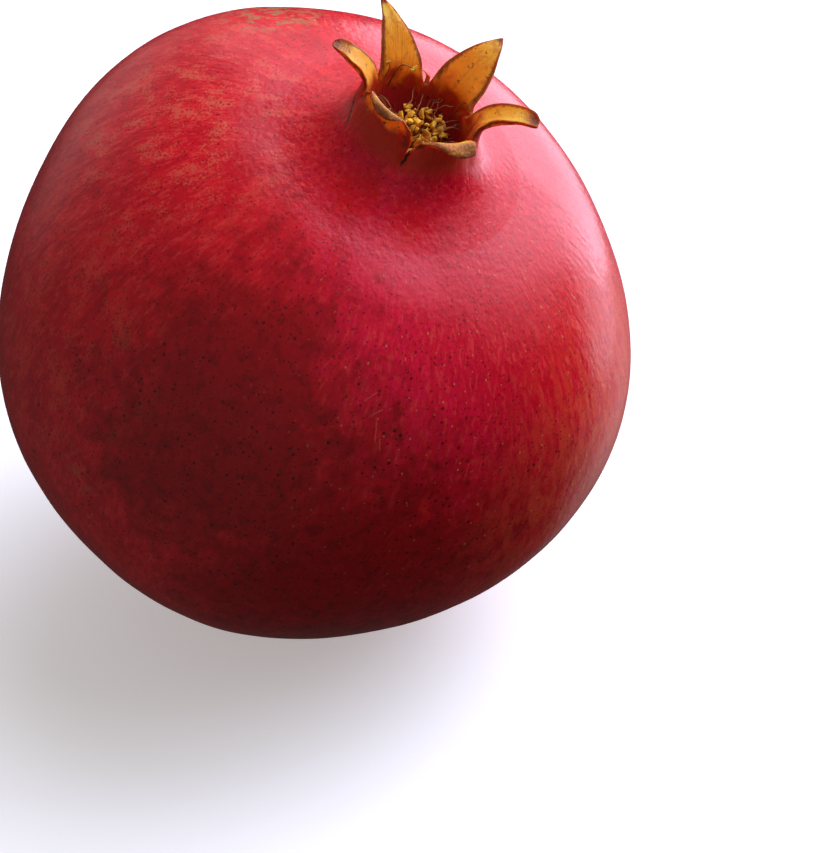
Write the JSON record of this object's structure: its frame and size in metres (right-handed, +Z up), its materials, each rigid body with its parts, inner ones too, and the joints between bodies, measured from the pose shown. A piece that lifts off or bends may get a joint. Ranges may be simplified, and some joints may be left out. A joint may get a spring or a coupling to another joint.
{
  "type": "pomegranate",
  "caption": "Whole ripe pomegranate at rest on a small flat spot, its open calyx leaning up to one side, with sepals, dried stamens and a clipped stem stub.",
  "frame": {"origin": "on the small flat spot that the fruit rests on, under the middle of the fruit and within 1 mm of under its centre of mass", "axes": "+Z up from the table; +X is the level direction that the crown leans towards, by 22 degrees from upright; +Y completes the right-handed frame"},
  "size_m": [0.098, 0.0957, 0.106],
  "materials": {
    "rind": "crimson rind, satin and a little waxy, with pink bloom, maroon blotches and fine dark dots",
    "calyx": "leathery orange sepals, red at the foot and brown and dry at the edges and tips",
    "stamens": "dry golden anthers on thin brown filaments, matt",
    "stem_stub": "dry clipped stem, matt, fibrous"
  },
  "bodies": {
    "root": {"rind": "rind", "calyx": "calyx", "stamens": "stamens", "stem_stub": "stem_stub"}
  },
  "joints": []
}
